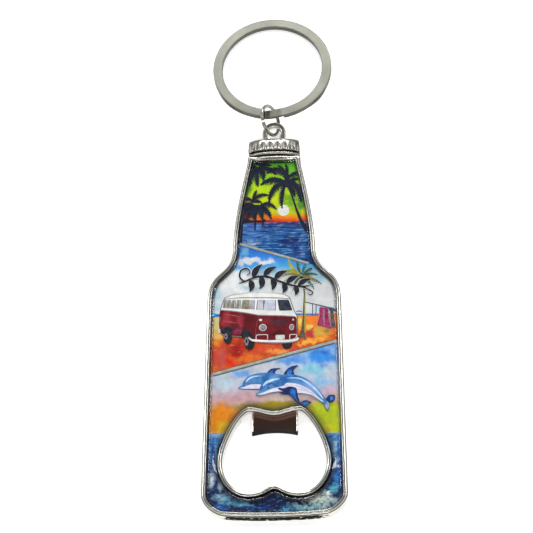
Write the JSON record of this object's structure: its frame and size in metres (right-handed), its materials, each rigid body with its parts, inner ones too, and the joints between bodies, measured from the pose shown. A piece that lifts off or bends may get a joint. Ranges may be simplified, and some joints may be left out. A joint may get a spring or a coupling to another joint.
{
  "type": "souvenir bottle opener",
  "caption": "Flat bottle-shaped opener with a framed picture under a clear dome, a steel tongue in its opening, and a key ring on a jump ring.",
  "frame": {"origin": "middle of the bottle's length, on its centreline, on the flat back face", "axes": "+Z out of the picture face, +Y along the bottle towards its cap and rings, +X to the right when the picture is upright"},
  "size_m": [0.0366, 0.1408, 0.0081],
  "materials": {
    "nickel_casting": "nickel-plated zinc casting, polished rims",
    "nickel_steel": "nickel-plated pressed steel, mirror bright",
    "printed_panel": "colour print on embossed sheet",
    "clear_resin": "clear domed resin, wet gloss",
    "nickel_wire": "nickel-plated round wire",
    "nickel_band": "satin nickel-plated flat wire"
  },
  "bodies": {
    "bottle": {"bottle_body": "nickel_casting", "opener_tongue": "nickel_steel", "picture_panel": "printed_panel", "clear_dome": "clear_resin"},
    "jump_ring": {"jump_ring": "nickel_wire"},
    "split_ring": {"split_ring": "nickel_band"}
  },
  "joints": [
    {"name": "jump_ring_swivel", "type": "hinge", "parent": "bottle", "child": "jump_ring", "pos_m": [0, 0.0539, 0.00215], "axis": [0, 0, 1], "range_deg": [-40, 40]},
    {"name": "split_ring_fold", "type": "hinge", "parent": "jump_ring", "child": "split_ring", "pos_m": [-0.00045, 0.05848, 0.00483], "axis": [1, 0, 0], "range_deg": [-30, 150]}
  ]
}
